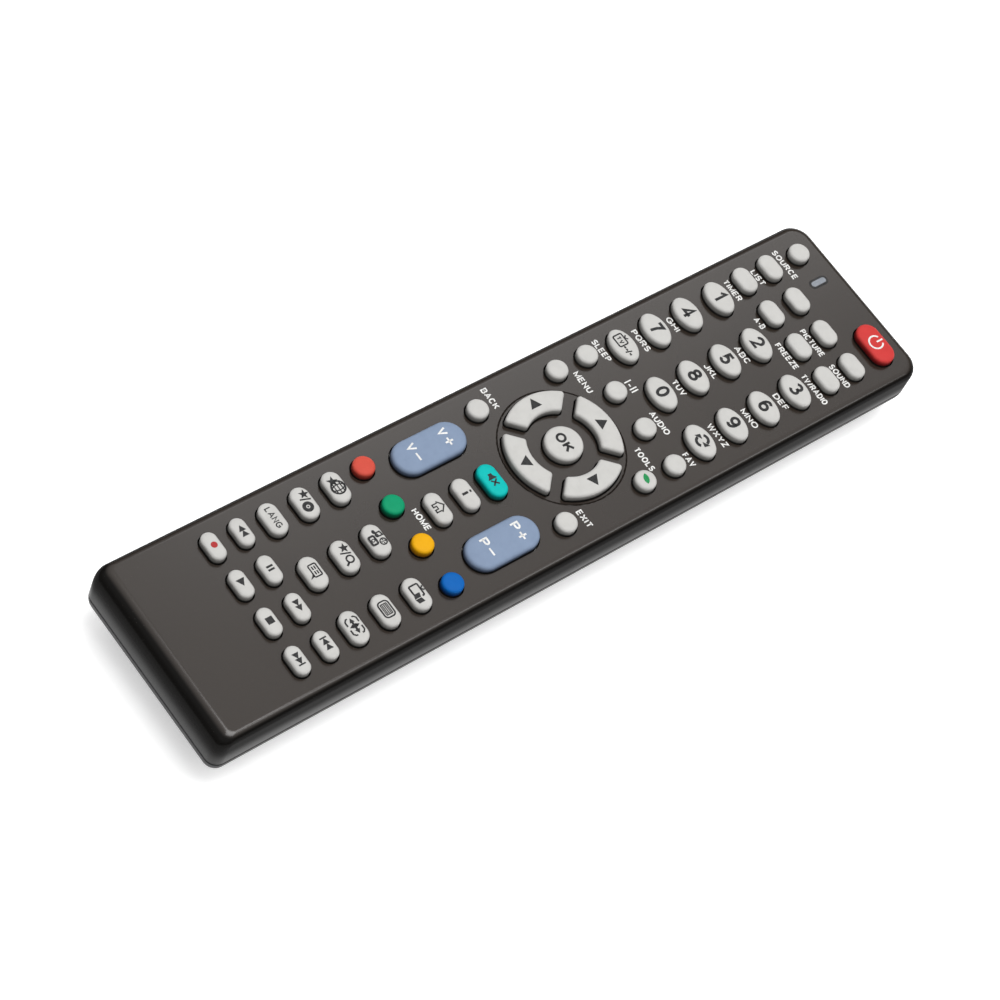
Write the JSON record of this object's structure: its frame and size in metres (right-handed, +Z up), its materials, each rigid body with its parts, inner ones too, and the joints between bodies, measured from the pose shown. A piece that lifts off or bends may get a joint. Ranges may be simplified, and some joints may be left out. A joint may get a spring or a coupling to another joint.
{
  "type": "television remote control",
  "caption": "Slim handheld infrared remote control with soft number, direction, rocker, colour and playback keys in a two-part case, and a rear door over two AAA cells.",
  "frame": {"origin": "centre of the bottom of the bounding box, on the flat back that the remote rests on", "axes": "+Z up out of the face, +Y towards the head end with the power key and the infrared emitter, +X to the power key's side"},
  "size_m": [0.0484, 0.205, 0.0225],
  "materials": {
    "cover_gloss": "satin to gloss, injection moulded",
    "shell_matte": "fine matte texture",
    "door_matte": "fine matte texture",
    "grey_silicone": "matte moulded silicone, light grey",
    "rocker_blue_grey": "matte moulded silicone, blue grey",
    "red_silicone": "matte moulded silicone, red",
    "green_silicone": "matte moulded silicone, green",
    "yellow_silicone": "matte moulded silicone, amber yellow",
    "blue_silicone": "matte moulded silicone, blue",
    "teal_silicone": "matte moulded silicone, teal",
    "silicone_sheet": "matte moulded silicone",
    "board_laminate": "paper laminate with a green mask",
    "carbon_pads": "printed carbon",
    "chip_epoxy": "moulded epoxy",
    "resonator_can": "drawn metal can",
    "capacitor_sleeve": "shrunk sleeve",
    "transistor_epoxy": "moulded epoxy",
    "resistor_ceramic": "coated ceramic",
    "lamp_clear": "clear moulded lamp",
    "lens_smoke": "translucent moulded lens",
    "emitter_lens": "tinted moulded lens",
    "cell_sleeve": "printed sleeve on a steel can",
    "contact_plate": "nickel plated spring steel",
    "spring_wire": "nickel plated spring wire"
  },
  "bodies": {
    "case": {"top_cover": "cover_gloss", "bottom_shell": "shell_matte", "indicator_lens": "lens_smoke", "infrared_emitter": "emitter_lens", "left_battery": "cell_sleeve", "right_battery": "cell_sleeve", "keypad_sheet": "silicone_sheet", "circuit_board": "board_laminate", "board_contacts": "carbon_pads", "controller_chip": "chip_epoxy", "resonator": "resonator_can", "capacitor": "capacitor_sleeve", "emitter_transistor": "transistor_epoxy", "resistors": "resistor_ceramic", "indicator_lamp": "lamp_clear", "positive_contact": "contact_plate", "negative_contact": "contact_plate", "link_contact": "contact_plate", "contact_springs": "spring_wire"},
    "source_key": {"source_key": "grey_silicone"},
    "power_key": {"power_key": "red_silicone"},
    "mode_keys_row_1": {"mode_keys_row_1": "grey_silicone"},
    "mode_keys_row_2": {"mode_keys_row_2": "grey_silicone"},
    "one_key": {"one_key": "grey_silicone"},
    "two_key": {"two_key": "grey_silicone"},
    "three_key": {"three_key": "grey_silicone"},
    "four_key": {"four_key": "grey_silicone"},
    "five_key": {"five_key": "grey_silicone"},
    "six_key": {"six_key": "grey_silicone"},
    "seven_key": {"seven_key": "grey_silicone"},
    "eight_key": {"eight_key": "grey_silicone"},
    "nine_key": {"nine_key": "grey_silicone"},
    "channel_digits_key": {"channel_digits_key": "grey_silicone"},
    "zero_key": {"zero_key": "grey_silicone"},
    "swap_key": {"swap_key": "grey_silicone"},
    "sound_keys": {"sound_keys": "grey_silicone"},
    "menu_key": {"menu_key": "grey_silicone"},
    "quick_menu_key": {"quick_menu_key": "grey_silicone"},
    "ok_key": {"ok_key": "grey_silicone"},
    "up_key": {"up_key": "grey_silicone"},
    "left_key": {"left_key": "grey_silicone"},
    "down_key": {"down_key": "grey_silicone"},
    "right_key": {"right_key": "grey_silicone"},
    "back_key": {"back_key": "grey_silicone"},
    "exit_key": {"exit_key": "grey_silicone"},
    "mute_key": {"mute_key": "teal_silicone"},
    "info_key": {"info_key": "grey_silicone"},
    "home_key": {"home_key": "grey_silicone"},
    "red_key": {"red_key": "red_silicone"},
    "green_key": {"green_key": "green_silicone"},
    "yellow_key": {"yellow_key": "yellow_silicone"},
    "blue_key": {"blue_key": "blue_silicone"},
    "function_keys_row_1": {"function_keys_row_1": "grey_silicone"},
    "function_keys_row_2": {"function_keys_row_2": "grey_silicone"},
    "function_keys_row_3": {"function_keys_row_3": "grey_silicone"},
    "playback_keys_row_1": {"playback_keys_row_1": "grey_silicone"},
    "playback_keys_row_2": {"playback_keys_row_2": "grey_silicone"},
    "volume_rocker": {"volume_rocker": "rocker_blue_grey"},
    "channel_rocker": {"channel_rocker": "rocker_blue_grey"},
    "battery_door": {"battery_door": "door_matte"}
  },
  "joints": [
    {"name": "source_key_press", "type": "slide", "parent": "case", "child": "source_key", "axis": [0, -0.0146, -0.9999], "range_m": [0, 0.0009], "stiffness_N_per_m": 400, "springref_m": -0.0005},
    {"name": "power_key_press", "type": "slide", "parent": "case", "child": "power_key", "axis": [0, -0.0146, -0.9999], "range_m": [0, 0.0009], "stiffness_N_per_m": 400, "springref_m": -0.0005},
    {"name": "mode_keys_row_1_press", "type": "slide", "parent": "case", "child": "mode_keys_row_1", "axis": [0, -0.0146, -0.9999], "range_m": [0, 0.0009], "stiffness_N_per_m": 1600, "springref_m": -0.0005},
    {"name": "mode_keys_row_2_press", "type": "slide", "parent": "case", "child": "mode_keys_row_2", "axis": [0, -0.0146, -0.9999], "range_m": [0, 0.0009], "stiffness_N_per_m": 1600, "springref_m": -0.0005},
    {"name": "one_key_press", "type": "slide", "parent": "case", "child": "one_key", "axis": [0, -0.0146, -0.9999], "range_m": [0, 0.0009], "stiffness_N_per_m": 400, "springref_m": -0.0005},
    {"name": "two_key_press", "type": "slide", "parent": "case", "child": "two_key", "axis": [0, -0.0146, -0.9999], "range_m": [0, 0.0009], "stiffness_N_per_m": 400, "springref_m": -0.0005},
    {"name": "three_key_press", "type": "slide", "parent": "case", "child": "three_key", "axis": [0, -0.0146, -0.9999], "range_m": [0, 0.0009], "stiffness_N_per_m": 400, "springref_m": -0.0005},
    {"name": "four_key_press", "type": "slide", "parent": "case", "child": "four_key", "axis": [0, -0.0146, -0.9999], "range_m": [0, 0.0009], "stiffness_N_per_m": 400, "springref_m": -0.0005},
    {"name": "five_key_press", "type": "slide", "parent": "case", "child": "five_key", "axis": [0, -0.0146, -0.9999], "range_m": [0, 0.0009], "stiffness_N_per_m": 400, "springref_m": -0.0005},
    {"name": "six_key_press", "type": "slide", "parent": "case", "child": "six_key", "axis": [0, -0.0146, -0.9999], "range_m": [0, 0.0009], "stiffness_N_per_m": 400, "springref_m": -0.0005},
    {"name": "seven_key_press", "type": "slide", "parent": "case", "child": "seven_key", "axis": [0, -0.0146, -0.9999], "range_m": [0, 0.0009], "stiffness_N_per_m": 400, "springref_m": -0.0005},
    {"name": "eight_key_press", "type": "slide", "parent": "case", "child": "eight_key", "axis": [0, -0.0146, -0.9999], "range_m": [0, 0.0009], "stiffness_N_per_m": 400, "springref_m": -0.0005},
    {"name": "nine_key_press", "type": "slide", "parent": "case", "child": "nine_key", "axis": [0, -0.0146, -0.9999], "range_m": [0, 0.0009], "stiffness_N_per_m": 400, "springref_m": -0.0005},
    {"name": "channel_digits_key_press", "type": "slide", "parent": "case", "child": "channel_digits_key", "axis": [0, -0.0146, -0.9999], "range_m": [0, 0.0009], "stiffness_N_per_m": 400, "springref_m": -0.0005},
    {"name": "zero_key_press", "type": "slide", "parent": "case", "child": "zero_key", "axis": [0, -0.0146, -0.9999], "range_m": [0, 0.0009], "stiffness_N_per_m": 400, "springref_m": -0.0005},
    {"name": "swap_key_press", "type": "slide", "parent": "case", "child": "swap_key", "axis": [0, -0.0146, -0.9999], "range_m": [0, 0.0009], "stiffness_N_per_m": 400, "springref_m": -0.0005},
    {"name": "sound_keys_press", "type": "slide", "parent": "case", "child": "sound_keys", "axis": [0, -0.0146, -0.9999], "range_m": [0, 0.0009], "stiffness_N_per_m": 1600, "springref_m": -0.0005},
    {"name": "menu_key_press", "type": "slide", "parent": "case", "child": "menu_key", "axis": [0, -0.0146, -0.9999], "range_m": [0, 0.0009], "stiffness_N_per_m": 400, "springref_m": -0.0005},
    {"name": "quick_menu_key_press", "type": "slide", "parent": "case", "child": "quick_menu_key", "axis": [0, -0.0146, -0.9999], "range_m": [0, 0.0009], "stiffness_N_per_m": 400, "springref_m": -0.0005},
    {"name": "ok_key_press", "type": "slide", "parent": "case", "child": "ok_key", "axis": [0, -0.0146, -0.9999], "range_m": [0, 0.0009], "stiffness_N_per_m": 400, "springref_m": -0.0005},
    {"name": "up_key_press", "type": "slide", "parent": "case", "child": "up_key", "axis": [0, -0.0146, -0.9999], "range_m": [0, 0.0009], "stiffness_N_per_m": 400, "springref_m": -0.0005},
    {"name": "left_key_press", "type": "slide", "parent": "case", "child": "left_key", "axis": [0, -0.0146, -0.9999], "range_m": [0, 0.0009], "stiffness_N_per_m": 400, "springref_m": -0.0005},
    {"name": "down_key_press", "type": "slide", "parent": "case", "child": "down_key", "axis": [0, -0.0146, -0.9999], "range_m": [0, 0.0009], "stiffness_N_per_m": 400, "springref_m": -0.0005},
    {"name": "right_key_press", "type": "slide", "parent": "case", "child": "right_key", "axis": [0, -0.0146, -0.9999], "range_m": [0, 0.0009], "stiffness_N_per_m": 400, "springref_m": -0.0005},
    {"name": "back_key_press", "type": "slide", "parent": "case", "child": "back_key", "axis": [0, -0.0146, -0.9999], "range_m": [0, 0.0009], "stiffness_N_per_m": 400, "springref_m": -0.0005},
    {"name": "exit_key_press", "type": "slide", "parent": "case", "child": "exit_key", "axis": [0, -0.0146, -0.9999], "range_m": [0, 0.0009], "stiffness_N_per_m": 400, "springref_m": -0.0005},
    {"name": "mute_key_press", "type": "slide", "parent": "case", "child": "mute_key", "axis": [0, -0.0146, -0.9999], "range_m": [0, 0.0009], "stiffness_N_per_m": 400, "springref_m": -0.0005},
    {"name": "info_key_press", "type": "slide", "parent": "case", "child": "info_key", "axis": [0, -0.0146, -0.9999], "range_m": [0, 0.0009], "stiffness_N_per_m": 400, "springref_m": -0.0005},
    {"name": "home_key_press", "type": "slide", "parent": "case", "child": "home_key", "axis": [0, -0.0146, -0.9999], "range_m": [0, 0.0009], "stiffness_N_per_m": 400, "springref_m": -0.0005},
    {"name": "red_key_press", "type": "slide", "parent": "case", "child": "red_key", "axis": [0, -0.0146, -0.9999], "range_m": [0, 0.0009], "stiffness_N_per_m": 400, "springref_m": -0.0005},
    {"name": "green_key_press", "type": "slide", "parent": "case", "child": "green_key", "axis": [0, -0.0146, -0.9999], "range_m": [0, 0.0009], "stiffness_N_per_m": 400, "springref_m": -0.0005},
    {"name": "yellow_key_press", "type": "slide", "parent": "case", "child": "yellow_key", "axis": [0, -0.0146, -0.9999], "range_m": [0, 0.0009], "stiffness_N_per_m": 400, "springref_m": -0.0005},
    {"name": "blue_key_press", "type": "slide", "parent": "case", "child": "blue_key", "axis": [0, -0.0146, -0.9999], "range_m": [0, 0.0009], "stiffness_N_per_m": 400, "springref_m": -0.0005},
    {"name": "function_keys_row_1_press", "type": "slide", "parent": "case", "child": "function_keys_row_1", "axis": [0, -0.0146, -0.9999], "range_m": [0, 0.0009], "stiffness_N_per_m": 1200, "springref_m": -0.0005},
    {"name": "function_keys_row_2_press", "type": "slide", "parent": "case", "child": "function_keys_row_2", "axis": [0, -0.0146, -0.9999], "range_m": [0, 0.0009], "stiffness_N_per_m": 1200, "springref_m": -0.0005},
    {"name": "function_keys_row_3_press", "type": "slide", "parent": "case", "child": "function_keys_row_3", "axis": [0, -0.0146, -0.9999], "range_m": [0, 0.0009], "stiffness_N_per_m": 1200, "springref_m": -0.0005},
    {"name": "playback_keys_row_1_press", "type": "slide", "parent": "case", "child": "playback_keys_row_1", "axis": [0, -0.0146, -0.9999], "range_m": [0, 0.0009], "stiffness_N_per_m": 1600, "springref_m": -0.0005},
    {"name": "playback_keys_row_2_press", "type": "slide", "parent": "case", "child": "playback_keys_row_2", "axis": [0, -0.0146, -0.9999], "range_m": [0, 0.0009], "stiffness_N_per_m": 1600, "springref_m": -0.0005},
    {"name": "volume_rocker_tilt", "type": "hinge", "parent": "case", "child": "volume_rocker", "pos_m": [-0.0137, -0.01988, 0.01849], "axis": [1, 0, 0], "range_deg": [-5, 5], "stiffness_Nm_per_rad": 0.03},
    {"name": "channel_rocker_tilt", "type": "hinge", "parent": "case", "child": "channel_rocker", "pos_m": [0.0137, -0.01988, 0.01849], "axis": [1, 0, 0], "range_deg": [-5, 5], "stiffness_Nm_per_rad": 0.03},
    {"name": "battery_door_hinge", "type": "hinge", "parent": "case", "child": "battery_door", "pos_m": [0, -0.09065, 0.0003], "axis": [-1, 0, 0], "range_deg": [0, 60]}
  ]
}
